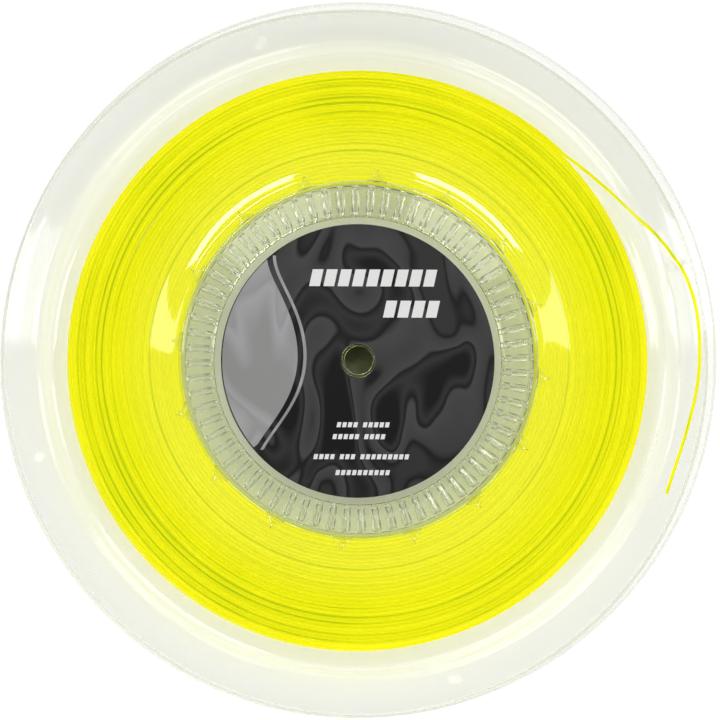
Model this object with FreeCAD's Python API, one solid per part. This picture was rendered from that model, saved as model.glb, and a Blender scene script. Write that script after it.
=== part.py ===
"""String reel for racket string: two clear moulded halves back to back, their labels and the wound string.

Frame: millimetres, reel lying flat, axis along +Z, front face up.
The origin is at the centre of the face that the reel rests on.
A height written as "up" is measured from the joint between the two halves, outward along the axis.
"""
import FreeCAD
import Part

import math
import os

from FreeCAD import Vector

# Whole reel
RIM_R = 135.0
HALF_WIDTH = 13.5
WALL = 1.0

# Flange: level dish, then an S-shaped step up to the band, with a return lip at the rim
GAP_HALF = 8.25
STEP_START_R = 115.5
STEP_END_R = 122.0
LIP_CORNER_R = 0.9
LIP_DEPTH = 2.2
COLLAR_UP = 10.6
COLLAR_END_R = 80.2

# String holes through the band; every repeated feature is counted from the first hole's direction
HOLE_COUNT = 4
HOLE_R = 1.7
HOLE_CIRCLE_R = 126.0
HOLE_ANGLE = 17.0

# Claws: cusp-shaped gussets between the hub collar and the flange
CLAW_COUNT = 16
CLAW_BASE_HALF = 3.8
CLAW_TIP_R = 72.3
CLAW_WAIST_OUT = 0.2
CLAW_WAIST_SHARE = 0.15
CLAW_SINK = 0.3

# Drum: the cylinder that the string is wound on, with a ring of sloping flutes inside it
DRUM_R = 67.6
DRUM_WALL = 1.8
FLUTE_COUNT = 68
FLUTE_INNER_R = 54.5
FLUTE_INNER_UP = 2.0
FLUTE_OUTER_UP = 9.6
FLUTE_INNER_HALF = 1.25
FLUTE_OUTER_HALF = 1.55

# Web: the floor of the hub, and the spindle boss in its middle
WEB_THICK = 0.8
BORE_R = 5.35
BOSS_R = 6.4
BOSS_UP = 3.95

# Labels
LABEL_R = 51.8
LABEL_HOLE_R = 6.7
LABEL_THICK = 0.15

# String
STRING_DIAMETER = 1.25
WINDING_R = 109.5
WINDING_HALF = 8.1

# A tool that trims a shape reaches this far past it, and this far to each side
TRIM_PAST = 1.0
TRIM_HALF = 10.0

# Free end of the string: off the winding, out through the first hole, then along the band to its cut end.
TAIL_ROUTE = (
    (77.4, 78.4, 19.2),
    (83.2, 74.3, 19.2),
    (90.0, 68.8, 19.3),
    (98.6, 61.3, 19.6),
    (107.2, 53.2, 20.9),
    (115.6, 44.4, 23.0),
    (119.6, 38.2, 24.75),
    (121.35, 35.5, 28.25),
    (124.1, 29.8, 27.8),
    (126.4, 23.2, 27.7),
    (128.0, 14.6, 27.7),
    (128.6, 4.2, 27.7),
    (128.0, -7.6, 27.7),
    (125.6, -19.4, 27.7),
    (122.2, -31.0, 27.7),
    (118.4, -42.2, 27.7),
    (115.7, -50.6, 27.7),
)


def point(r, up):
    """A point of an axial section."""
    return Vector(r, 0, up)


def line(a, b):
    return Part.LineSegment(a, b).toShape()


def s_curve(r0, up0, r1, up1):
    """Smooth step between two level stretches of a section."""
    middle = 0.5 * (r0 + r1)
    curve = Part.BezierCurve()
    curve.setPoles([point(r0, up0), point(middle, up0), point(middle, up1), point(r1, up1)])
    return curve.toShape()


def quarter_turn(start, corner, end):
    """Round corner of a section, from start to end, tangent to the two sides that meet at corner."""
    centre = start + end - corner
    radius = (corner - start).Length
    outward = (corner - centre).normalize()
    return Part.Arc(start, centre + outward * radius, end).toShape()


def revolve(edges):
    face = Part.Face(Part.Wire(Part.__sortEdges__(edges)))
    return face.revolve(Vector(0, 0, 0), Vector(0, 0, 1), 360)


def ring(inner_r, outer_r, up0, up1):
    corners = [point(inner_r, up0), point(outer_r, up0), point(outer_r, up1), point(inner_r, up1)]
    return revolve([line(a, b) for a, b in zip(corners, corners[1:] + corners[:1])])


def turned(shape, angle):
    """A copy of the shape turned about the reel's axis."""
    copy = shape.copy()
    copy.rotate(Vector(0, 0, 0), Vector(0, 0, 1), angle)
    return copy


def repeated(shape, count):
    """Equally spaced copies about the axis, the first in the direction of the first string hole."""
    return [turned(shape, HOLE_ANGLE + 360.0 * k / count) for k in range(count)]


def dish_end():
    """Lower and upper corner of the cut between the dish and the band, where the step begins."""
    return point(STEP_START_R, GAP_HALF), point(STEP_START_R - 0.5 * WALL, GAP_HALF + WALL)


def dish():
    """Level floor of the flange, thickened towards the hub by the collar."""
    dish_top = GAP_HALF + WALL
    lower_end, upper_end = dish_end()
    collar_slope = Part.BezierCurve()
    collar_slope.setPoles([point(DRUM_R, COLLAR_UP), point(0.5 * (DRUM_R + COLLAR_END_R), dish_top),
                           point(COLLAR_END_R, dish_top)])
    return revolve([
        line(point(DRUM_R, GAP_HALF), lower_end),
        line(lower_end, upper_end),
        line(upper_end, point(COLLAR_END_R, dish_top)),
        collar_slope.toShape(),
        line(point(DRUM_R, COLLAR_UP), point(DRUM_R, GAP_HALF)),
    ])


def band():
    """Step up from the dish, level band and the return lip at the rim."""
    band_under = HALF_WIDTH - WALL
    lip_inner_r = RIM_R - WALL
    lip_up = HALF_WIDTH - LIP_DEPTH
    inner_corner = 0.4 * LIP_CORNER_R
    band_start_r = STEP_END_R - 0.5 * WALL
    lower_end, upper_end = dish_end()
    return revolve([
        line(upper_end, lower_end),
        s_curve(lower_end.x, lower_end.z, STEP_END_R, band_under),
        line(point(STEP_END_R, band_under), point(lip_inner_r - inner_corner, band_under)),
        quarter_turn(point(lip_inner_r - inner_corner, band_under), point(lip_inner_r, band_under),
                     point(lip_inner_r, band_under - inner_corner)),
        line(point(lip_inner_r, band_under - inner_corner), point(lip_inner_r, lip_up)),
        line(point(lip_inner_r, lip_up), point(RIM_R, lip_up)),
        line(point(RIM_R, lip_up), point(RIM_R, HALF_WIDTH - LIP_CORNER_R)),
        quarter_turn(point(RIM_R, HALF_WIDTH - LIP_CORNER_R), point(RIM_R, HALF_WIDTH),
                     point(RIM_R - LIP_CORNER_R, HALF_WIDTH)),
        line(point(RIM_R - LIP_CORNER_R, HALF_WIDTH), point(band_start_r, HALF_WIDTH)),
        s_curve(upper_end.x, upper_end.z, band_start_r, HALF_WIDTH),
    ])


def cusp_flank(start, waist, end):
    """Hollow side of a claw, drawn in towards its waist."""
    curve = Part.BezierCurve()
    curve.setPoles([start, waist, end])
    return curve.toShape()


def claw():
    """One cusp: wide at the collar, concave flanks, sloping down to a point on the flange."""
    root_r = math.sqrt(DRUM_R ** 2 - CLAW_BASE_HALF ** 2)
    bottom = GAP_HALF + 0.5 * WALL
    left = Vector(root_r, CLAW_BASE_HALF, bottom)
    tip = Vector(CLAW_TIP_R, 0, bottom)
    right = Vector(root_r, -CLAW_BASE_HALF, bottom)
    waist_r = DRUM_R + CLAW_WAIST_OUT * (CLAW_TIP_R - DRUM_R)
    waist_half = CLAW_WAIST_SHARE * CLAW_BASE_HALF
    foot = Part.Wire([
        cusp_flank(left, Vector(waist_r, waist_half, bottom), tip),
        cusp_flank(tip, Vector(waist_r, -waist_half, bottom), right),
        Part.Arc(right, Vector(DRUM_R, 0, bottom), left).toShape(),
    ])
    prism = Part.Face(foot).extrude(Vector(0, 0, COLLAR_UP - bottom))
    slope_in = Vector(root_r - TRIM_PAST, -TRIM_HALF, COLLAR_UP + CLAW_SINK)
    slope_out = Vector(CLAW_TIP_R + TRIM_PAST, -TRIM_HALF, GAP_HALF + WALL)
    above_out = Vector(slope_out.x, -TRIM_HALF, slope_in.z)
    above_slope = Part.Face(Part.makePolygon([slope_in, above_out, slope_out, slope_in]))
    return prism.cut(above_slope.extrude(Vector(0, 2 * TRIM_HALF, 0)))


def flange_half():
    """The dish with the claws standing on it."""
    return dish().multiFuse(repeated(claw(), CLAW_COUNT)).removeSplitter()


def band_half():
    """The band with the string holes through it."""
    hole = Part.makeCylinder(HOLE_R, 4 * WALL, Vector(HOLE_CIRCLE_R, 0, HALF_WIDTH - 2 * WALL))
    return band().cut(Part.makeCompound(repeated(hole, HOLE_COUNT)))


def flute():
    """One sloping flute with a rounded inner end, reaching into the drum wall."""
    outer_r = DRUM_R - 0.5 * DRUM_WALL
    shoulder_r = FLUTE_INNER_R + FLUTE_INNER_HALF
    foot = Part.Wire([
        line(Vector(outer_r, FLUTE_OUTER_HALF, 0), Vector(shoulder_r, FLUTE_INNER_HALF, 0)),
        Part.Arc(Vector(shoulder_r, FLUTE_INNER_HALF, 0), Vector(FLUTE_INNER_R, 0, 0),
                 Vector(shoulder_r, -FLUTE_INNER_HALF, 0)).toShape(),
        line(Vector(shoulder_r, -FLUTE_INNER_HALF, 0), Vector(outer_r, -FLUTE_OUTER_HALF, 0)),
        line(Vector(outer_r, -FLUTE_OUTER_HALF, 0), Vector(outer_r, FLUTE_OUTER_HALF, 0)),
    ])
    prism = Part.Face(foot).extrude(Vector(0, 0, FLUTE_OUTER_UP))
    slope_in = Vector(FLUTE_INNER_R, -TRIM_HALF, FLUTE_INNER_UP)
    slope_out = Vector(outer_r, -TRIM_HALF, FLUTE_OUTER_UP)
    above_in = Vector(FLUTE_INNER_R - TRIM_PAST, -TRIM_HALF, FLUTE_OUTER_UP + TRIM_PAST)
    above_end = Vector(above_in.x, -TRIM_HALF, FLUTE_INNER_UP)
    above_slope = Part.Face(Part.makePolygon([slope_in, slope_out, above_in, above_end, slope_in]))
    return prism.cut(above_slope.extrude(Vector(0, 2 * TRIM_HALF, 0)))


def drum_half():
    """Drum wall and the ledge under the flutes, with the flutes standing on it."""
    wall = ring(DRUM_R - DRUM_WALL, DRUM_R, 0, COLLAR_UP)
    ledge = ring(FLUTE_INNER_R, DRUM_R - 0.5 * DRUM_WALL, 0, WEB_THICK)
    return wall.fuse(ledge).multiFuse(repeated(flute(), FLUTE_COUNT)).removeSplitter()


def web_half():
    """Floor disc of the hub, from the boss to the flutes."""
    return ring(BOSS_R, FLUTE_INNER_R, 0, WEB_THICK)


def boss_half():
    """Low boss round the spindle bore."""
    return ring(BORE_R, BOSS_R, 0, BOSS_UP)


def label_half():
    return ring(LABEL_HOLE_R, LABEL_R, WEB_THICK, WEB_THICK + LABEL_THICK)


def front(shape):
    """The half above the joint."""
    copy = shape.copy()
    copy.translate(Vector(0, 0, HALF_WIDTH))
    return copy


def rear(shape):
    """The same moulding turned over about the line through two opposite string holes."""
    angle = math.radians(HOLE_ANGLE)
    copy = shape.copy()
    copy.rotate(Vector(0, 0, 0), Vector(math.cos(angle), math.sin(angle), 0), 180)
    copy.translate(Vector(0, 0, HALF_WIDTH))
    return copy


def winding():
    """Outer shape of the wound string, between the flanges and on the drum."""
    rounding = STRING_DIAMETER / 2
    body = ring(DRUM_R, WINDING_R, -WINDING_HALF, WINDING_HALF)
    flat_edges = [e for e in body.Edges if e.BoundBox.ZLength < 0.01]
    outer_edges = [e for e in flat_edges if abs(e.BoundBox.XMax - WINDING_R) < 0.01]
    return body.makeFillet(rounding, outer_edges)


def arc_radii(route):
    """The radius of the arc at each inner point of the route."""
    radii = []
    for before, here, after in zip(route, route[1:], route[2:]):
        turn = (here - before).getAngle(after - here)
        shorter = min((here - before).Length, (after - here).Length)
        radii.append(0.45 * shorter / math.tan(turn / 2))
    return radii


def rounded_path(route, radii):
    """Straight runs joined by tangent arcs, as one wire."""
    edges = []
    start = route[0]
    for before, here, after, radius in zip(route, route[1:], route[2:], radii):
        back = (before - here).normalize()
        ahead = (after - here).normalize()
        half_turn = (math.pi - back.getAngle(ahead)) / 2
        tangent = radius * math.tan(half_turn)
        inward = (back + ahead).normalize()
        arc_start = here + back * tangent
        arc_end = here + ahead * tangent
        arc_middle = here + inward * (radius / math.cos(half_turn) - radius)
        edges.append(line(start, arc_start))
        edges.append(Part.Arc(arc_start, arc_middle, arc_end).toShape())
        start = arc_end
    edges.append(line(start, route[-1]))
    return Part.Wire(edges)


def tail():
    route = [Vector(*p) for p in TAIL_ROUTE]
    radii = arc_radii(route)
    path = rounded_path(route, radii)
    section = Part.Wire(Part.makeCircle(STRING_DIAMETER / 2, route[0], route[1] - route[0]))
    tube = path.makePipeShell([section], True, False)
    expected = math.pi * STRING_DIAMETER ** 2 / 4 * path.Length
    print("tail length", round(path.Length, 1))
    print("tail volume over section times length", round(tube.Volume / expected, 4))
    print("tail radii", [round(r, 1) for r in radii])
    return tube


def main():
    os.makedirs("parts", exist_ok=True)
    halves = {"flange": flange_half(), "band": band_half(), "drum": drum_half(), "web": web_half(),
              "boss": boss_half(), "label": label_half()}
    nodes = {}
    for name, shape in halves.items():
        nodes["front_" + name] = front(shape)
        nodes["rear_" + name] = rear(shape)
    nodes["string_winding"] = front(winding())
    nodes["string_tail"] = tail()
    for name, shape in nodes.items():
        solid = shape.Solids[0]
        print(name, "solids", len(shape.Solids), "valid", solid.isValid(), "volume", round(solid.Volume))
        solid.exportStep("parts/" + name + ".step")


main()
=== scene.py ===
"""Looks of the string reel: clear moulded halves, printed labels, the wound string and its free end.

Everything is in metres in the part's own frame. Sizes named in millimetres are turned into metres by MM.
"up" is the height above the joint between the two halves of the reel, outward along its axis.
"""
import math
import random

import bpy
import numpy as np
from mathutils import Matrix, Vector


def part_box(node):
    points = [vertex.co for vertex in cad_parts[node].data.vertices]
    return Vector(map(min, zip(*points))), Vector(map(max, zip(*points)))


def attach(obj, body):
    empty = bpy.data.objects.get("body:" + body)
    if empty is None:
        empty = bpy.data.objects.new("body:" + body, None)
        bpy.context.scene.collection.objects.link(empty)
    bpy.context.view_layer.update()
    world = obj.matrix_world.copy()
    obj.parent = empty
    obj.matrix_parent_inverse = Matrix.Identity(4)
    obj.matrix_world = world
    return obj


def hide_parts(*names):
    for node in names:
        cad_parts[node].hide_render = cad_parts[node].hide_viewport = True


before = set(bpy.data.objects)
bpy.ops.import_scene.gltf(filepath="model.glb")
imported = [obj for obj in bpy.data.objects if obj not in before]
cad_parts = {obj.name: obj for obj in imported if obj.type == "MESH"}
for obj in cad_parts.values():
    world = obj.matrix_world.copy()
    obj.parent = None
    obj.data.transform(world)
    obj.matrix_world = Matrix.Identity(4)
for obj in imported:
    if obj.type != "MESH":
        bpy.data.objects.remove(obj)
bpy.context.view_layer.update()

MM = 0.001

# Sizes read from the frame, in millimetres
BAND_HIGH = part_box("front_band")[1]
DRUM_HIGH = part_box("front_drum")[1]
LABEL_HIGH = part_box("front_label")[1]
HALF_WIDTH = BAND_HIGH.z / MM / 2
RIM_R = BAND_HIGH.x / MM
COLLAR_UP = DRUM_HIGH.z / MM - HALF_WIDTH
LABEL_R = LABEL_HIGH.x / MM
LABEL_UP = LABEL_HIGH.z / MM - HALF_WIDTH

# Mouldings
WALL = 1.0
GAP_HALF = 8.25
STEP_START_R = 115.5
STEP_END_R = 122.0
LIP_CORNER_R = 0.9
LIP_DEPTH = 2.2
COLLAR_START_R = 69.4
COLLAR_STEEP_R = 71.2
COLLAR_END_R = 80.2
COLLAR_STEEP = math.radians(12.0)
HOLE_COUNT = 4
HOLE_ANGLE = math.radians(17.0)
HOLE_CIRCLE_R = 126.0
HOLE_R = 1.7
CLAW_COUNT = 16
CLAW_TIP_R = 72.3
CLAW_BASE_HALF = 3.8
CLAW_TIP_HALF = 0.12
CLAW_RISE = 0.35
CLAW_DROP = 0.9
CLAW_CROWN = 0.5
CLAW_CUSP = 1.7
DRUM_R = 67.6
DRUM_WALL = 1.8
FLUTE_COUNT = 68
FLUTE_INNER_R = 54.5
FLUTE_INNER_UP = 2.0
FLUTE_OUTER_UP = 9.6
FLUTE_DEPTH = 1.3
FLUTE_SKIN = 0.8
FLUTE_HALF = 1.0
FLUTE_FLANK = 0.6
FLUTE_INNER_LAND = 1.4
FLUTE_OUTER_LAND = 0.9
WEB_THICK = 0.8
BORE_R = 5.35
BOSS_R = 6.4
BOSS_UP = 3.95
LABEL_HOLE_R = 6.7
LABEL_THICK = 0.15

# Gaps that keep pieces from touching: CLEAR inside a moulding, SMALL_CLEAR at the joint and under the label
CLEAR = 0.02
SMALL_CLEAR = 0.01

# Rounding of the mouldings' free edges
EDGE = 0.25
DRUM_EDGE = 0.15

# Fineness of the meshes. Except on the string, faces that meet at more than SHARP_ANGLE degrees have a
# sharp edge between them.
FLANGE_SIDES = 544
DRUM_SIDES = 272
HUB_SIDES = 192
SIDES_PER_FLUTE = 18
FLUTE_ROWS = 32
SHARP_ANGLE = 35.0

# Share of the light that one face of clear plastic lets through besides its tint
FACE_PASSES = 0.985

# String. DWELL is the share of a layer for which its turns stay against each flange, and SWAY is how far
# each of three slow waves moves a layer in or out at most. WOUND_R is more than STRING_R, so that evenly
# spaced turns close up. A turn less than SEEN_DEPTH in from the winding's sides can be seen. The string
# steps out to the next layer over CLIMB_SHARE of a turn, and runs out to the free end over LAST_SHARE of
# one. It is palest at PALEST_R and inside it, where a painted pale sheen stands in for the light that the
# collar reflects over it, and has its full colour from FULL_COLOUR_R outward.
STRING_R = 0.625
LAYERS = 29
TURNS_PER_LAYER = 12.4
SWAY = 0.13
DWELL = 0.08
LAYER_INNER_R = 68.35
LAYER_OUTER_R = 108.8
WINDING_UP = 7.5
WOUND_R = 0.8
WINDING_PIECES = 4
POINTS_PER_SEEN_TURN = 110
POINTS_PER_HIDDEN_TURN = 72
SEEN_DEPTH = 2.2
CLIMB_SHARE = 0.3
LAST_SHARE = 0.12
PALEST_R = 76.0
FULL_COLOUR_R = 92.0
STRING_GLOW = 0.25

# Free end of the string, from the winding out through the first hole and along the band to its cut end
TAIL_ROUTE = (
    (77.4, 78.4, 19.2),
    (83.2, 74.3, 19.2),
    (90.0, 68.8, 19.3),
    (98.6, 61.3, 19.6),
    (107.2, 53.2, 20.9),
    (115.6, 44.4, 23.0),
    (119.6, 38.2, 24.75),
    (121.35, 35.5, 28.25),
    (124.1, 29.8, 27.8),
    (126.4, 23.2, 27.7),
    (128.0, 14.6, 27.7),
    (128.6, 4.2, 27.7),
    (128.0, -7.6, 27.7),
    (125.6, -19.4, 27.7),
    (122.2, -31.0, 27.7),
    (118.4, -42.2, 27.7),
    (115.7, -50.6, 27.7),
)

# Light table, in metres
FLOOR_SIZE = 6.0
FLOOR_DROP = 0.0003

# Its glow, and the radii in millimetres within which the glow is off and within which painted shade darkens
# its colour
FLOOR_GLOW = 0.38
FLOOR_DARK_R = 22.0
FLOOR_PAINTED_SHADE_R = 12.0

# Heights above the floor, in metres, of the strips and panels and of the boxes at the sides
LAMP_HEIGHT = 1.45
BOX_HEIGHT = 0.9

# Camera: almost straight above the reel, a little off its axis towards the lower left. The distance and the
# width of the view are in metres, its centre in millimetres.
CAMERA_DISTANCE = 3.0
CAMERA_TILT = math.radians(5.0)
CAMERA_SIDE = math.radians(216.6)
VIEW_WIDTH = 0.2712
VIEW_CENTRE = (-0.16, -0.39)


# ---------------------------------------------------------------- camera, light and floor

def make_camera():
    target = Vector((VIEW_CENTRE[0], VIEW_CENTRE[1], 2 * HALF_WIDTH)) * MM
    away = Vector((math.sin(CAMERA_TILT) * math.cos(CAMERA_SIDE),
                   math.sin(CAMERA_TILT) * math.sin(CAMERA_SIDE),
                   math.cos(CAMERA_TILT)))
    right = Vector((0.0, 1.0, 0.0)).cross(away).normalized()
    upward = away.cross(right)
    data = bpy.data.cameras.new("camera")
    data.sensor_width = 36.0
    data.lens = 36.0 * CAMERA_DISTANCE / VIEW_WIDTH
    data.clip_end = 50.0
    camera = bpy.data.objects.new("camera", data)
    turn = Matrix((right, upward, away)).transposed().to_4x4()
    camera.matrix_world = Matrix.Translation(target + away * CAMERA_DISTANCE) @ turn
    bpy.context.scene.collection.objects.link(camera)
    bpy.context.scene.camera = camera


def soft_box(name, place, size, radiance, aim=(0.0, 0.0, 0.0)):
    """A rectangular area light facing aim, as bright to look at as radiance says."""
    data = bpy.data.lights.new(name, "AREA")
    data.shape = "RECTANGLE"
    data.size, data.size_y = size
    data.energy = radiance * math.pi * size[0] * size[1]
    light = bpy.data.objects.new(name, data)
    light.location = place
    light.rotation_euler = (Vector(aim) - Vector(place)).to_track_quat("-Z", "Y").to_euler()
    bpy.context.scene.collection.objects.link(light)


def make_world():
    """A studio with pale walls and a dim ceiling."""
    world = bpy.data.worlds.new("white_studio")
    world.use_nodes = True
    nodes, links = world.node_tree.nodes, world.node_tree.links
    place = nodes.new("ShaderNodeTexCoord")
    parts = nodes.new("ShaderNodeSeparateXYZ")
    ramp = nodes.new("ShaderNodeValToRGB")
    elements = ramp.color_ramp.elements
    elements[0].position, elements[1].position = 0.5, 0.93
    elements[0].color = (0.66, 0.66, 0.66, 1.0)
    elements[1].color = (0.06, 0.06, 0.06, 1.0)
    elements.new(0.75).color = (0.45, 0.45, 0.45, 1.0)
    links.new(place.outputs["Generated"], parts.inputs["Vector"])
    links.new(parts.outputs["Z"], ramp.inputs["Fac"])
    links.new(ramp.outputs["Color"], nodes["Background"].inputs["Color"])
    bpy.context.scene.world = world


# ---------------------------------------------------------------- materials

def new_material(name):
    """A node material with its Principled shader and its output."""
    material = bpy.data.materials.new(name)
    material.use_nodes = True
    nodes = material.node_tree.nodes
    return material, nodes, material.node_tree.links, nodes["Principled BSDF"], nodes["Material Output"]


def add(nodes, kind, **values):
    """A node with some of its inputs set."""
    node = nodes.new(kind)
    for name, value in values.items():
        node.inputs[name.replace("_", " ")].default_value = value
    return node


def calculate(nodes, links, operation, *inputs):
    """The result of a sum on sockets and plain numbers."""
    node = nodes.new("ShaderNodeMath")
    node.operation = operation
    for socket, value in zip(node.inputs, inputs):
        if isinstance(value, float):
            socket.default_value = value
        else:
            links.new(value, socket)
    return node.outputs["Value"]


def blend_colour(nodes, links, share, from_socket, to_colour):
    """A colour between a socket's and a plain one, by the share in another socket."""
    mix = nodes.new("ShaderNodeMix")
    mix.data_type = "RGBA"
    mix.inputs[7].default_value = (*to_colour, 1.0)
    links.new(share, mix.inputs[0])
    links.new(from_socket, mix.inputs[6])
    return mix.outputs[2]


def distance_from_axis(nodes, links, parts):
    """How far a point is from the reel's axis, in metres, from its separate coordinates."""
    flat = add(nodes, "ShaderNodeCombineXYZ", Z=0.0)
    radius = nodes.new("ShaderNodeVectorMath")
    radius.operation = "LENGTH"
    links.new(parts.outputs["X"], flat.inputs["X"])
    links.new(parts.outputs["Y"], flat.inputs["Y"])
    links.new(flat.outputs["Vector"], radius.inputs[0])
    return radius.outputs["Value"]


def clear_plastic(name, tint, roughness, ripple):
    """Clear moulded plastic: tinted glass with a faint moulding ripple, which casts a faint shadow."""
    material, nodes, links, shader, output = new_material(name)
    shader.inputs["Base Color"].default_value = (*tint, 1.0)
    shader.inputs["Transmission Weight"].default_value = 1.0
    shader.inputs["IOR"].default_value = 1.46
    shader.inputs["Roughness"].default_value = roughness
    place = nodes.new("ShaderNodeTexCoord")
    waves = add(nodes, "ShaderNodeTexNoise", Scale=38.0, Detail=2.0, Roughness=0.45)
    bump = add(nodes, "ShaderNodeBump", Strength=ripple, Distance=0.0006)
    links.new(place.outputs["Object"], waves.inputs["Vector"])
    links.new(waves.outputs["Fac"], bump.inputs["Height"])
    links.new(bump.outputs["Normal"], shader.inputs["Normal"])
    passing = nodes.new("ShaderNodeBsdfTransparent")
    passing.inputs["Color"].default_value = (*[FACE_PASSES * c ** 0.5 for c in tint], 1.0)
    ray = nodes.new("ShaderNodeLightPath")
    either = calculate(nodes, links, "MAXIMUM", ray.outputs["Is Shadow Ray"], ray.outputs["Is Diffuse Ray"])
    mix = nodes.new("ShaderNodeMixShader")
    links.new(either, mix.inputs["Fac"])
    links.new(shader.outputs["BSDF"], mix.inputs[1])
    links.new(passing.outputs["BSDF"], mix.inputs[2])
    links.new(mix.outputs["Shader"], output.inputs["Surface"])
    return material


def frosted_plastic(name, colour, cover):
    """Clear plastic where its surface is frosted: pale and partly seen through."""
    material, _, _, shader, _ = new_material(name)
    shader.inputs["Base Color"].default_value = (*colour, 1.0)
    shader.inputs["Roughness"].default_value = 0.35
    shader.inputs["Alpha"].default_value = cover
    return material


def string_material():
    """Fluorescent yellow monofilament: each turn a little lighter or greener, and paler near the drum with
    a painted sheen.
    """
    material, nodes, links, shader, _ = new_material("yellow_string")
    place = nodes.new("ShaderNodeTexCoord")
    parts = nodes.new("ShaderNodeSeparateXYZ")
    links.new(place.outputs["Object"], parts.inputs["Vector"])
    radius = distance_from_axis(nodes, links, parts)

    # Tone that changes from turn to turn, and a little from place to place
    turn = nodes.new("ShaderNodeCombineXYZ")
    tone = add(nodes, "ShaderNodeTexNoise", Scale=600.0, Detail=1.0)
    cloud = add(nodes, "ShaderNodeTexNoise", Scale=30.0, Detail=1.0)
    links.new(radius, turn.inputs["X"])
    links.new(calculate(nodes, links, "MULTIPLY", parts.outputs["Z"], 0.3), turn.inputs["Y"])
    links.new(turn.outputs["Vector"], tone.inputs["Vector"])
    links.new(place.outputs["Object"], cloud.inputs["Vector"])
    slow = calculate(nodes, links, "MULTIPLY_ADD", cloud.outputs["Fac"], 0.25, -0.125)
    ramp = nodes.new("ShaderNodeValToRGB")
    elements = ramp.color_ramp.elements
    elements[0].position, elements[1].position = 0.30, 0.70
    elements[0].color = (0.50, 0.60, 0.0, 1.0)
    elements[1].color = (0.93, 0.90, 0.006, 1.0)
    elements.new(0.40).color = (0.79, 0.80, 0.0, 1.0)
    links.new(calculate(nodes, links, "ADD", tone.outputs["Fac"], slow), ramp.inputs["Fac"])

    # Painted sheen: the colour turns paler towards the drum, standing in for light reflected by the collar
    painted_sheen_share = add(nodes, "ShaderNodeMapRange", To_Min=0.7, To_Max=0.0,
                    From_Min=PALEST_R * MM, From_Max=FULL_COLOUR_R * MM)
    links.new(radius, painted_sheen_share.inputs["Value"])
    colour = blend_colour(nodes, links, painted_sheen_share.outputs["Result"], ramp.outputs["Color"],
                          (0.88, 0.87, 0.045))
    links.new(colour, shader.inputs["Base Color"])
    links.new(colour, shader.inputs["Emission Color"])
    shader.inputs["Emission Strength"].default_value = STRING_GLOW
    shader.inputs["Roughness"].default_value = 0.3
    shader.inputs["Specular IOR Level"].default_value = 0.3
    shader.inputs["Specular Tint"].default_value = (1.0, 1.0, 0.15, 1.0)
    return material


# Greys of the label's marbling, as (value of the noise, grey)
BLACK_MARBLING = (
    (0.36, 0.003),
    (0.42, 0.030),
    (0.46, 0.004),
    (0.48, 0.060),
    (0.58, 0.042),
    (0.61, 0.005),
    (0.66, 0.030),
)
GREY_MARBLING = ((0.35, 0.30), (0.45, 0.40), (0.48, 0.33), (0.6, 0.42))


def marbling(nodes, links, stops, scale):
    """Liquid blobs with banded edges, as colours between the stops."""
    place = nodes.new("ShaderNodeTexCoord")
    stretch = add(nodes, "ShaderNodeMapping", Scale=(1.0, 0.55, 1.0), Rotation=(0.0, 0.0, 0.5))
    blobs = add(nodes, "ShaderNodeTexNoise", Scale=scale, Detail=0.6, Roughness=0.3, Distortion=1.4)
    ramp = nodes.new("ShaderNodeValToRGB")
    elements = ramp.color_ramp.elements
    elements[0].position, elements[1].position = stops[0][0], stops[-1][0]
    elements[0].color = (*[stops[0][1]] * 3, 1.0)
    elements[1].color = (*[stops[-1][1]] * 3, 1.0)
    for position, grey in stops[1:-1]:
        elements.new(position).color = (grey, grey, grey * 1.04, 1.0)
    links.new(place.outputs["Object"], stretch.inputs["Vector"])
    links.new(stretch.outputs["Vector"], blobs.inputs["Vector"])
    links.new(blobs.outputs["Fac"], ramp.inputs["Fac"])
    return ramp.outputs["Color"]


def print_material(name, stops):
    """Gloss-laminated print with a marbled pattern."""
    material, nodes, links, shader, _ = new_material(name)
    links.new(marbling(nodes, links, stops, 34.0), shader.inputs["Base Color"])
    shader.inputs["Roughness"].default_value = 0.3
    shader.inputs["Specular IOR Level"].default_value = 0.35
    return material


def plain_print(name, colour):
    """One printed ink with the slight mottle of paper under it."""
    material, nodes, links, shader, _ = new_material(name)
    place = nodes.new("ShaderNodeTexCoord")
    mottle = add(nodes, "ShaderNodeTexNoise", Scale=900.0, Detail=2.0)
    ramp = nodes.new("ShaderNodeValToRGB")
    ramp.color_ramp.elements[0].color = (*[c * 0.93 for c in colour], 1.0)
    ramp.color_ramp.elements[1].color = (*colour, 1.0)
    links.new(place.outputs["Object"], mottle.inputs["Vector"])
    links.new(mottle.outputs["Fac"], ramp.inputs["Fac"])
    links.new(ramp.outputs["Color"], shader.inputs["Base Color"])
    shader.inputs["Roughness"].default_value = 0.35
    return material


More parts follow.
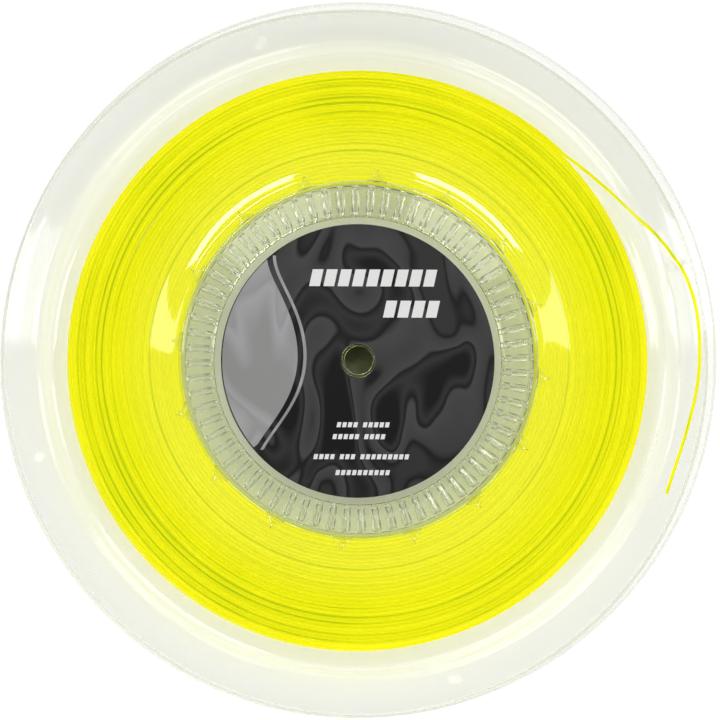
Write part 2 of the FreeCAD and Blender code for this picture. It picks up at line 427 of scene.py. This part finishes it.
def floor_material():
    """White acrylic of a light table: a faint glow except under the hub's middle, and painted dark olive
    shade under the bore.
    """
    material, nodes, links, shader, _ = new_material("pale_floor")
    place = nodes.new("ShaderNodeTexCoord")
    grain = add(nodes, "ShaderNodeTexNoise", Scale=240.0, Detail=3.0)
    ramp = nodes.new("ShaderNodeValToRGB")
    ramp.color_ramp.elements[0].color = (0.88, 0.88, 0.88, 1.0)
    ramp.color_ramp.elements[1].color = (0.90, 0.90, 0.90, 1.0)
    distance = nodes.new("ShaderNodeVectorMath")
    distance.operation = "LENGTH"
    glow = add(nodes, "ShaderNodeMapRange", To_Max=FLOOR_GLOW,
               From_Min=FLOOR_DARK_R * MM, From_Max=2 * FLOOR_DARK_R * MM)
    # Painted shade: the floor's colour darkens to olive under the bore, where the reel's hub shades it
    shade = add(nodes, "ShaderNodeMapRange", To_Min=1.0, To_Max=0.0,
                From_Min=FLOOR_PAINTED_SHADE_R * MM, From_Max=1.5 * FLOOR_PAINTED_SHADE_R * MM)
    links.new(place.outputs["Object"], grain.inputs["Vector"])
    links.new(grain.outputs["Fac"], ramp.inputs["Fac"])
    links.new(place.outputs["Object"], distance.inputs[0])
    links.new(distance.outputs["Value"], glow.inputs["Value"])
    links.new(distance.outputs["Value"], shade.inputs["Value"])
    tone = blend_colour(nodes, links, shade.outputs["Result"], ramp.outputs["Color"], (0.24, 0.26, 0.13))
    links.new(tone, shader.inputs["Base Color"])
    links.new(ramp.outputs["Color"], shader.inputs["Emission Color"])
    links.new(glow.outputs["Result"], shader.inputs["Emission Strength"])
    shader.inputs["Roughness"].default_value = 0.7
    return material


# ---------------------------------------------------------------- mesh helpers

def mesh_object(name, points, faces, material, sharp_angle=SHARP_ANGLE):
    """A smooth-shaded mesh from points in millimetres, sharp where its faces meet at a steep angle."""
    mesh = bpy.data.meshes.new(name)
    mesh.from_pydata((np.asarray(points, float) * MM).tolist(), [], faces)
    mesh.validate()
    mesh.shade_smooth()
    mesh.set_sharp_from_angle(angle=math.radians(sharp_angle))
    mesh.materials.append(material)
    piece = bpy.data.objects.new(name, mesh)
    bpy.context.scene.collection.objects.link(piece)
    return piece


def smooth_step(x):
    x = np.clip(x, 0.0, 1.0)
    return x * x * (3 - 2 * x)


def grid_faces(rows, columns, first=0, close_rows=False, close_columns=False):
    """Quads of a grid of points, row after row."""
    faces = []
    for i in range(rows if close_rows else rows - 1):
        below = first + (i % rows) * columns
        above = first + ((i + 1) % rows) * columns
        for j in range(columns if close_columns else columns - 1):
            after = (j + 1) % columns
            faces.append((below + j, below + after, above + after, above + j))
    return faces


def bezier(poles, steps):
    """Points of a Bezier curve in a section, the last one left out."""
    found = []
    degree = len(poles) - 1
    for k in range(steps):
        t = k / steps
        weights = [math.comb(degree, i) * t ** i * (1 - t) ** (degree - i) for i in range(degree + 1)]
        found.append(tuple(sum(w * p[a] for w, p in zip(weights, poles)) for a in (0, 1)))
    return found


def s_curve(r0, up0, r1, up1, steps=14):
    """Points of a level-to-level S, the last one left out."""
    middle = 0.5 * (r0 + r1)
    return bezier([(r0, up0), (middle, up0), (middle, up1), (r1, up1)], steps)


def lathe(name, section, count, material):
    """A closed section turned about the axis."""
    section = np.asarray(section, float)
    angles = np.linspace(0.0, 2 * math.pi, count, endpoint=False)
    r = np.repeat(section[None, :, 0], count, 0)
    up = np.repeat(section[None, :, 1], count, 0)
    theta = np.repeat(angles[:, None], len(section), 1)
    points = np.stack([r * np.cos(theta), r * np.sin(theta), up], -1).reshape(-1, 3)
    faces = grid_faces(count, len(section), close_rows=True, close_columns=True)
    return mesh_object(name, points, faces, material)


def place_half(piece, side):
    """Moves a piece made above the joint to the front half, or turns it over to the rear half."""
    lift = Matrix.Translation((0.0, 0.0, HALF_WIDTH * MM))
    axis = Vector((math.cos(HOLE_ANGLE), math.sin(HOLE_ANGLE), 0.0))
    turn = Matrix.Rotation(math.pi, 4, axis) if side == "rear" else Matrix.Identity(4)
    piece.data.transform(lift @ turn)
    return piece


def finish_piece(piece, slot, *replaced):
    """Ties a piece to the reel's body and hides the nodes that it stands for. The slot is not used."""
    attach(piece, "root")
    if replaced:
        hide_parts(*replaced)


# ---------------------------------------------------------------- mouldings

def collar_slope():
    """Top of the collar: level at the drum, soon at its steepest, then ever flatter down to the dish."""
    dish_top = GAP_HALF + WALL
    middle_r = 0.5 * (COLLAR_START_R + COLLAR_STEEP_R)
    steep_up = COLLAR_UP - (COLLAR_STEEP_R - middle_r) * math.tan(COLLAR_STEEP)
    flat_r = 0.5 * (COLLAR_STEEP_R + COLLAR_END_R)
    flat_up = steep_up - (flat_r - COLLAR_STEEP_R) * math.tan(COLLAR_STEEP)
    found = bezier([(COLLAR_START_R, COLLAR_UP), (middle_r, COLLAR_UP), (COLLAR_STEEP_R, steep_up)], 6)
    found += bezier([(COLLAR_STEEP_R, steep_up), (flat_r, flat_up), (COLLAR_END_R, dish_top)], 20)
    return found


def flange_section():
    """Closed section of a flange, as (radius, up): out along its top, round the lip and back underneath."""
    dish_top = GAP_HALF + WALL
    band_under = HALF_WIDTH - WALL
    lip_inner_r = RIM_R - WALL
    lip_up = HALF_WIDTH - LIP_DEPTH
    small_corner = 0.4 * LIP_CORNER_R
    corner_r = lip_inner_r - small_corner
    corner_up = band_under - small_corner
    shift = 0.5 * WALL
    outside = [(DRUM_R, COLLAR_UP - 0.3), (DRUM_R + 0.3, COLLAR_UP)] + collar_slope()
    outside += [(r, dish_top) for r in np.linspace(COLLAR_END_R, STEP_START_R - shift, 6, endpoint=False)]
    outside += s_curve(STEP_START_R - shift, dish_top, STEP_END_R - shift, HALF_WIDTH)
    outside += [(STEP_END_R - shift, HALF_WIDTH), (RIM_R - 3 * LIP_CORNER_R, HALF_WIDTH)]
    outside += bezier([(RIM_R - LIP_CORNER_R, HALF_WIDTH), (RIM_R - small_corner, HALF_WIDTH),
                       (RIM_R, HALF_WIDTH - small_corner), (RIM_R, HALF_WIDTH - LIP_CORNER_R)], 6)
    outside += [(RIM_R, HALF_WIDTH - LIP_CORNER_R), (RIM_R, lip_up + EDGE), (RIM_R - EDGE, lip_up)]
    inside = [(lip_inner_r + EDGE, lip_up), (lip_inner_r, lip_up + EDGE)]
    inside += bezier([(lip_inner_r, corner_up), (lip_inner_r, band_under), (corner_r, band_under)], 5)
    inside += [(corner_r, band_under), (STEP_END_R + 4, band_under)]
    inside += s_curve(STEP_END_R, band_under, STEP_START_R, GAP_HALF)
    inside += [(r, GAP_HALF) for r in np.linspace(STEP_START_R, DRUM_R, 6)]
    return outside + inside


def cut_string_holes(piece):
    """Round holes through the band."""
    tools = []
    for k in range(HOLE_COUNT):
        angle = HOLE_ANGLE + 2 * math.pi * k / HOLE_COUNT
        bpy.ops.mesh.primitive_cylinder_add(
            vertices=32, radius=HOLE_R * MM, depth=4 * MM,
            location=(HOLE_CIRCLE_R * MM * math.cos(angle), HOLE_CIRCLE_R * MM * math.sin(angle),
                      (HALF_WIDTH - 0.5 * WALL) * MM))
        tools.append(bpy.context.object)
    bpy.ops.object.select_all(action="DESELECT")
    for tool in tools:
        tool.select_set(True)
    bpy.context.view_layer.objects.active = tools[0]
    bpy.ops.object.join()
    cutter = bpy.context.object
    cut = piece.modifiers.new("holes", "BOOLEAN")
    cut.operation = "DIFFERENCE"
    cut.solver = "EXACT"
    cut.object = cutter
    depsgraph = bpy.context.evaluated_depsgraph_get()
    piece.data = bpy.data.meshes.new_from_object(piece.evaluated_get(depsgraph))
    piece.modifiers.clear()
    bpy.data.objects.remove(cutter)
    piece.data.shade_smooth()
    piece.data.set_sharp_from_angle(angle=math.radians(SHARP_ANGLE))


def make_flange(side, material, edge_material):
    piece = lathe(side + "_flange_shell", flange_section(), FLANGE_SIDES, material)
    piece.data.materials.append(edge_material)
    cut_string_holes(piece)
    for face in piece.data.polygons:
        if math.hypot(face.center.x, face.center.y) > (RIM_R - LIP_CORNER_R) * MM:
            face.material_index = 1
    place_half(piece, side)
    finish_piece(piece, "clear_plastic", side + "_flange", side + "_band")


def claw_outline():
    """A claw seen from above, from its root at the drum to its tip, as (distance out, half width)."""
    root_r = DRUM_R + 0.1
    found = []
    for share in np.linspace(0.0, 1.0, 13):
        half = CLAW_TIP_HALF + CLAW_BASE_HALF * (1 - share) ** CLAW_CUSP
        found.append((root_r + (CLAW_TIP_R - root_r) * share, half))
    return found


def make_claws(side, material):
    """Cusp-shaped gussets that stand on the collar against the drum, with crowned tops."""
    points, faces = [], []
    outline = claw_outline()
    columns = (-1.0, -0.86, -0.5, 0.0, 0.5, 0.86, 1.0)
    for k in range(CLAW_COUNT):
        angle = HOLE_ANGLE + 2 * math.pi * k / CLAW_COUNT
        first = len(points)
        tops, feet = [], []
        for out, half in outline:
            crest = COLLAR_UP + CLAW_RISE - CLAW_DROP * ((out - DRUM_R) / (CLAW_TIP_R - DRUM_R)) ** 3
            for column in columns:
                r = math.hypot(out, half * column)
                turn = angle + math.atan2(half * column, out)
                x, y = r * math.cos(turn), r * math.sin(turn)
                tops.append((x, y, crest - CLAW_CROWN * column ** 6))
                feet.append((x, y, GAP_HALF + 0.3))
        points += tops + feet
        rows = len(outline)
        below = first + rows * len(columns)
        faces += [tuple(reversed(f)) for f in grid_faces(rows, len(columns), first)]
        faces += grid_faces(rows, len(columns), below)
        border = [i * len(columns) for i in range(rows)]
        border += [(rows - 1) * len(columns) + j for j in range(1, len(columns))]
        border += [i * len(columns) + len(columns) - 1 for i in range(rows - 2, -1, -1)]
        border += list(range(len(columns) - 2, 0, -1))
        for a, b in zip(border, border[1:] + border[:1]):
            faces.append((first + a, first + b, below + b, below + a))
    piece = place_half(mesh_object(side + "_claws", points, faces, material), side)
    finish_piece(piece, "clear_plastic", side + "_flange")


def flute_skin():
    """The cone inside the drum, a thin skin with narrow round-ended flutes.

    Gives its points, its faces, and for each face whether it is on the flank of a flute.
    """
    columns, rows = FLUTE_COUNT * SIDES_PER_FLUTE, FLUTE_ROWS
    outer_r = DRUM_R - DRUM_WALL - CLEAR
    pitch = 2 * math.pi / FLUTE_COUNT
    t = np.linspace(0.0, 1.0, rows)[:, None]
    theta = np.linspace(0.0, 2 * math.pi, columns, endpoint=False)[None, :]
    r = FLUTE_INNER_R + (outer_r - FLUTE_INNER_R) * t + 0.0 * theta
    across = r * ((theta - HOLE_ANGLE + pitch / 2) % pitch - pitch / 2)
    past_inner = np.maximum(FLUTE_INNER_R + FLUTE_INNER_LAND + FLUTE_HALF - r, 0.0)
    past_outer = np.maximum(r - outer_r + FLUTE_OUTER_LAND + FLUTE_HALF, 0.0)
    inward = FLUTE_HALF - np.hypot(across, np.maximum(past_inner, past_outer))
    ridge = smooth_step(0.5 + inward / FLUTE_FLANK)
    foot = smooth_step(t / 0.1)
    rise = (FLUTE_INNER_UP - WEB_THICK) * foot + (FLUTE_OUTER_UP - FLUTE_INNER_UP) * t
    slope_up = WEB_THICK + 0.1 + rise
    top = slope_up + FLUTE_DEPTH * (ridge - 0.5) * foot
    under = np.maximum(top - FLUTE_SKIN * (0.1 + 1.15 * foot), WEB_THICK + CLEAR)
    points = [np.stack([r * np.cos(theta), r * np.sin(theta), z + 0.0 * theta], -1).reshape(-1, 3)
              for z in (top, under)]
    count = rows * columns
    faces = [tuple(reversed(f)) for f in grid_faces(rows, columns, close_columns=True)]
    heights = ridge.reshape(-1)
    flank = [0.08 < heights[list(f)].mean() < 0.92 for f in faces]
    faces += grid_faces(rows, columns, first=count, close_columns=True)
    for j in range(columns):
        after = (j + 1) % columns
        last = (rows - 1) * columns
        faces.append((j, after, count + after, count + j))
        faces.append((last + after, last + j, count + last + j, count + last + after))
    return np.concatenate(points), faces, flank + [False] * (len(faces) - len(flank))


def make_flutes(side, material, flank_material):
    points, faces, flank = flute_skin()
    piece = mesh_object(side + "_hub_flutes", points, faces, material)
    piece.data.materials.append(flank_material)
    piece.data.polygons.foreach_set("material_index", [int(f) for f in flank])
    place_half(piece, side)
    finish_piece(piece, "clear_plastic", side + "_drum")


def make_drum_wall(side, material):
    inner_r = DRUM_R - DRUM_WALL
    outer_r = DRUM_R - CLEAR
    edge_up = COLLAR_UP - DRUM_EDGE
    section = [(inner_r, SMALL_CLEAR), (outer_r, SMALL_CLEAR)]
    section += bezier([(outer_r, edge_up), (outer_r, COLLAR_UP), (outer_r - DRUM_EDGE, COLLAR_UP)], 4)
    section += bezier([(inner_r + DRUM_EDGE, COLLAR_UP), (inner_r, COLLAR_UP), (inner_r, edge_up)], 4)
    section += [(inner_r, edge_up)]
    piece = place_half(lathe(side + "_drum_wall", section, DRUM_SIDES, material), side)
    finish_piece(piece, "clear_plastic", side + "_drum")


def make_web(side, material):
    """The floor of the hub with half of the spindle boss."""
    outer_r = DRUM_R - DRUM_WALL - CLEAR
    edge_up = BOSS_UP - EDGE
    section = [(BORE_R, SMALL_CLEAR), (outer_r, SMALL_CLEAR), (outer_r, WEB_THICK)]
    section += [(BOSS_R + EDGE, WEB_THICK), (BOSS_R, WEB_THICK + EDGE)]
    section += bezier([(BOSS_R, edge_up), (BOSS_R, BOSS_UP), (BOSS_R - EDGE, BOSS_UP)], 4)
    section += [(BOSS_R - EDGE, BOSS_UP), (BORE_R + EDGE, BOSS_UP), (BORE_R, edge_up)]
    piece = place_half(lathe(side + "_hub_web", section, HUB_SIDES, material), side)
    finish_piece(piece, "clear_plastic", side + "_web", side + "_boss")


# ---------------------------------------------------------------- labels

def make_label(side, material):
    low = LABEL_UP - LABEL_THICK + SMALL_CLEAR
    edge = 0.05
    edge_up = LABEL_UP - 0.04
    section = [(LABEL_HOLE_R, low), (LABEL_R, low), (LABEL_R, edge_up), (LABEL_R - edge, LABEL_UP),
               (LABEL_HOLE_R + edge, LABEL_UP), (LABEL_HOLE_R, edge_up)]
    piece = place_half(lathe(side + "_label_disc", section, HUB_SIDES, material), side)
    finish_piece(piece, "label_print", side + "_label")


# The ink's underside and top above the label
INK_LOW = 0.004
INK_HIGH = 0.02


def ink_patch(outline, points, faces):
    """A thin layer of ink on the label with the given outline."""
    first = len(points)
    count = len(outline)
    for up in (LABEL_UP + INK_LOW, LABEL_UP + INK_HIGH):
        points.extend((x, y, up) for x, y in outline)
    faces.append(tuple(range(first + count - 1, first - 1, -1)))
    faces.append(tuple(range(first + count, first + 2 * count)))
    for i in range(count):
        after = (i + 1) % count
        faces.append((first + i, first + after, first + count + after, first + count + i))


def slanted_bar(x, y, width, height, slant=0.22):
    """A bar whose ends lean like the edges of italic print."""
    lean = slant * height
    return [(x, y), (x + width, y), (x + width + lean, y + height), (x + lean, y + height)]


# Plain slanted blocks in place of the lines of print. Each line has its left end, bottom and height, the
# width of a block, the space between blocks, and the number of blocks in each group.
PRINT_LINES = (
    (-18.6, 28.2, 6.4, 4.1, 1.3, (9,)),
    (9.4, 16.4, 6.4, 4.1, 1.3, (4,)),
    (-8.2, -25.2, 1.9, 1.5, 0.6, (4, 5)),
    (-9.8, -29.7, 1.9, 1.5, 0.6, (5, 4)),
    (-17.0, -37.3, 1.9, 1.5, 0.6, (4, 3, 9)),
    (-8.7, -43.3, 1.9, 1.5, 0.6, (10,)),
)


def make_print_lines(side, material):
    points, faces = [], []
    for left, bottom, height, width, space, groups in PRINT_LINES:
        x = left
        for count in groups:
            for _ in range(count):
                ink_patch(slanted_bar(x, bottom, width, height), points, faces)
                x += width + space
            x += width
    piece = place_half(mesh_object(side + "_label_lines", points, faces, material), side)
    finish_piece(piece, "label_print")


# Right-hand edge of the line beside the light area on the label, from top to bottom. The line is WAVE_LINE
# wide, the area ends WAVE_SHIFT left of the edge, and both end WAVE_MARGIN inside the label's rim.
WAVE_LINE = 1.2
WAVE_SHIFT = 3.4
WAVE_MARGIN = 0.3
WAVE_EDGE = (
    (-31.0, 41.4),
    (-33.0, 30.0),
    (-19.0, 21.0),
    (-16.5, 5.0),
    (-13.0, -11.0),
    (-30.0, -21.0),
    (-37.0, -36.0),
)


def within(outline, radius):
    """The points of an outline that are less than a radius from the axis."""
    return [p for p in outline if math.hypot(*p) < radius]


def wave_area(shift, radius):
    """Outline of the part of a disc to the left of the wave edge, which is moved left by shift."""
    moved = [(x - shift, y) for x, y in WAVE_EDGE]
    inside = within(bezier(moved, 40) + moved[-1:], radius)
    start = math.atan2(inside[-1][1], inside[-1][0]) % (2 * math.pi)
    end = math.atan2(inside[0][1], inside[0][0]) % (2 * math.pi)
    rim = [(radius * math.cos(a), radius * math.sin(a)) for a in np.linspace(start, end, 50)]
    return inside + rim


def make_label_wave(side, material):
    """A light grey area on the left of the label, with a wavy edge and a thin line beside it."""
    points, faces = [], []
    radius = LABEL_R - WAVE_MARGIN
    ink_patch(wave_area(WAVE_SHIFT, radius), points, faces)
    line = bezier(WAVE_EDGE, 40) + [WAVE_EDGE[-1]]
    beside = [(x - WAVE_LINE, y) for x, y in reversed(line)]
    ink_patch(within(line, radius) + within(beside, radius), points, faces)
    piece = place_half(mesh_object(side + "_label_wave", points, faces, material), side)
    finish_piece(piece, "label_print")


# ---------------------------------------------------------------- string

def winding_path():
    """Centreline of the wound string: layers of turns from flange to flange, each layer on the last.

    A turn that can be seen, against a flange or in the first and last layers, gets more points.
    """
    rng = random.Random(11)
    total = LAYERS * TURNS_PER_LAYER
    pitch = (LAYER_OUTER_R - LAYER_INNER_R) / (LAYERS - 1)
    end_angle = math.atan2(TAIL_ROUTE[0][1], TAIL_ROUTE[0][0])
    end_r = math.hypot(TAIL_ROUTE[0][0], TAIL_ROUTE[0][1])
    end_up = TAIL_ROUTE[0][2] - HALF_WIDTH
    sway = [[(rng.uniform(0.0, SWAY), waves, rng.uniform(0, 2 * math.pi)) for waves in (1, 2, 3)]
            for _ in range(LAYERS)]
    path = []
    turn = 0.0
    while turn < total:
        layer = min(int(turn / TURNS_PER_LAYER), LAYERS - 1)
        share = turn / TURNS_PER_LAYER - layer
        across = min(max((share - DWELL) / (1 - 2 * DWELL), 0.0), 1.0)
        rising = (LAYERS - 1 - layer) % 2 == 0
        up = WINDING_UP * (2 * across - 1) * (1 if rising else -1)
        climb = 0.0
        if layer < LAYERS - 1:
            climb = float(smooth_step((share - 1) * TURNS_PER_LAYER / CLIMB_SHARE + 1))
        angle = end_angle + (total - turn) * 2 * math.pi
        wander = 0.0
        for weight, index in ((1 - climb, layer), (climb, min(layer + 1, LAYERS - 1))):
            waved = sum(amount * math.sin(waves * angle + phase) for amount, waves, phase in sway[index])
            wander += weight * waved
        r = LAYER_INNER_R + pitch * (layer + climb) + wander
        if layer == LAYERS - 1:
            up = min(up, end_up)
        left = total - turn
        if left < LAST_SHARE:
            blend = float(smooth_step(1 - left / LAST_SHARE))
            r += (end_r - r) * blend
            up += (end_up - up) * blend
        path.append((r * math.cos(angle), r * math.sin(angle), HALF_WIDTH + up))
        seen = abs(up) > WINDING_UP - SEEN_DEPTH or layer in (0, LAYERS - 1)
        turn += 1 / (POINTS_PER_SEEN_TURN if seen else POINTS_PER_HIDDEN_TURN)
    path.append(TAIL_ROUTE[0])
    return np.array(path)


def tube(name, path, radius, sides, material):
    """A capped tube along a path of points in millimetres, kept upright about the reel's axis."""
    ahead = np.gradient(path, axis=0)
    ahead /= np.linalg.norm(ahead, axis=1)[:, None]
    axis = np.array([0.0, 0.0, 1.0])
    outward = np.cross(ahead, axis)
    outward /= np.linalg.norm(outward, axis=1)[:, None]
    upward = np.cross(outward, ahead)
    spin = np.linspace(0, 2 * math.pi, sides, endpoint=False)
    rings = (path[:, None, :] + radius * (np.cos(spin)[None, :, None] * outward[:, None, :]
                                          + np.sin(spin)[None, :, None] * upward[:, None, :]))
    faces = grid_faces(len(path), sides, close_columns=True)
    last = (len(path) - 1) * sides
    faces.append(tuple(range(sides - 1, -1, -1)))
    faces.append(tuple(range(last, last + sides)))
    return mesh_object(name, rings.reshape(-1, 3), faces, material, sharp_angle=70.0)


def make_winding(material):
    """The wound string, in a few lengths that meet end to end."""
    path = winding_path()
    length = float(np.linalg.norm(np.diff(path, axis=0), axis=1).sum()) * MM
    print("wound string", round(length, 1), "m,", len(path), "points")
    ends = np.linspace(0, len(path) - 1, WINDING_PIECES + 1).astype(int)
    for number, (start, end) in enumerate(zip(ends, ends[1:]), 1):
        piece = tube("wound_string_" + str(number), path[start:end + 1], WOUND_R, 8, material)
        finish_piece(piece, "string", "string_winding")


def make_tail(material):
    data = bpy.data.curves.new("string_end", "CURVE")
    data.dimensions = "3D"
    data.bevel_depth = STRING_R * MM
    data.bevel_resolution = 4
    data.resolution_u = 10
    data.use_fill_caps = True
    spline = data.splines.new("NURBS")
    spline.points.add(len(TAIL_ROUTE) - 1)
    for knot, place in zip(spline.points, TAIL_ROUTE):
        knot.co = (*[c * MM for c in place], 1.0)
    spline.order_u = 3
    spline.use_endpoint_u = True
    data.materials.append(material)
    piece = bpy.data.objects.new("string_end", data)
    bpy.context.scene.collection.objects.link(piece)
    finish_piece(piece, "string", "string_tail")


# ---------------------------------------------------------------- scene

def make_floor():
    bpy.ops.mesh.primitive_plane_add(size=FLOOR_SIZE, location=(0.0, 0.0, -FLOOR_DROP))
    floor = bpy.context.object
    floor.name = "floor"
    floor.data.materials.append(floor_material())


def make_lights():
    make_world()
    strips_aim = (0.09, 0.07, 0.0)
    soft_box("upper_right_strip", (0.47, 0.578, LAMP_HEIGHT), (0.42, 0.10), 17.0, aim=strips_aim)
    soft_box("upper_left_strip", (-0.282, 0.535, LAMP_HEIGHT), (0.44, 0.10), 16.0, aim=strips_aim)
    soft_box("right_panel", (0.62, 0.185, LAMP_HEIGHT), (0.12, 0.56), 5.0, aim=(0.0, 0.10, 0.0))
    soft_box("left_panel", (-0.433, 0.157, LAMP_HEIGHT), (0.12, 0.50), 5.0, aim=(0.0, 0.16, 0.0))
    soft_box("lower_right_box", (1.0, -1.35, BOX_HEIGHT), (1.3, 1.0), 1.8)
    soft_box("lower_left_box", (-1.0, -1.35, BOX_HEIGHT), (1.3, 1.0), 2.2)
    soft_box("upper_box", (0.0, 1.7, BOX_HEIGHT), (2.0, 0.9), 0.4)


def main():
    bpy.context.scene.view_settings.view_transform = "Standard"
    make_camera()
    yellow = string_material()
    make_tail(yellow)
    make_winding(yellow)
    flange_plastic = clear_plastic("clear_flange", (0.968, 0.972, 0.968), 0.03, 0.10)
    hub_plastic = clear_plastic("clear_hub", (0.970, 0.982, 0.904), 0.05, 0.08)
    wall_plastic = clear_plastic("clear_drum_wall", (0.88, 0.92, 0.68), 0.05, 0.05)
    rim_edge = frosted_plastic("frosted_rim", (0.80, 0.82, 0.74), 0.3)
    flute_edge = frosted_plastic("frosted_flute", (0.90, 0.96, 0.66), 0.42)
    black_print = print_material("black_print", BLACK_MARBLING)
    grey_print = print_material("grey_print", GREY_MARBLING)
    white_print = plain_print("white_print", (0.9, 0.9, 0.9))
    for side in ("front", "rear"):
        make_flange(side, flange_plastic, rim_edge)
        make_claws(side, flange_plastic)
        make_flutes(side, hub_plastic, flute_edge)
        make_drum_wall(side, wall_plastic)
        make_web(side, hub_plastic)
        make_label(side, black_print)
        make_label_wave(side, grey_print)
        make_print_lines(side, white_print)
    make_floor()
    make_lights()


main()
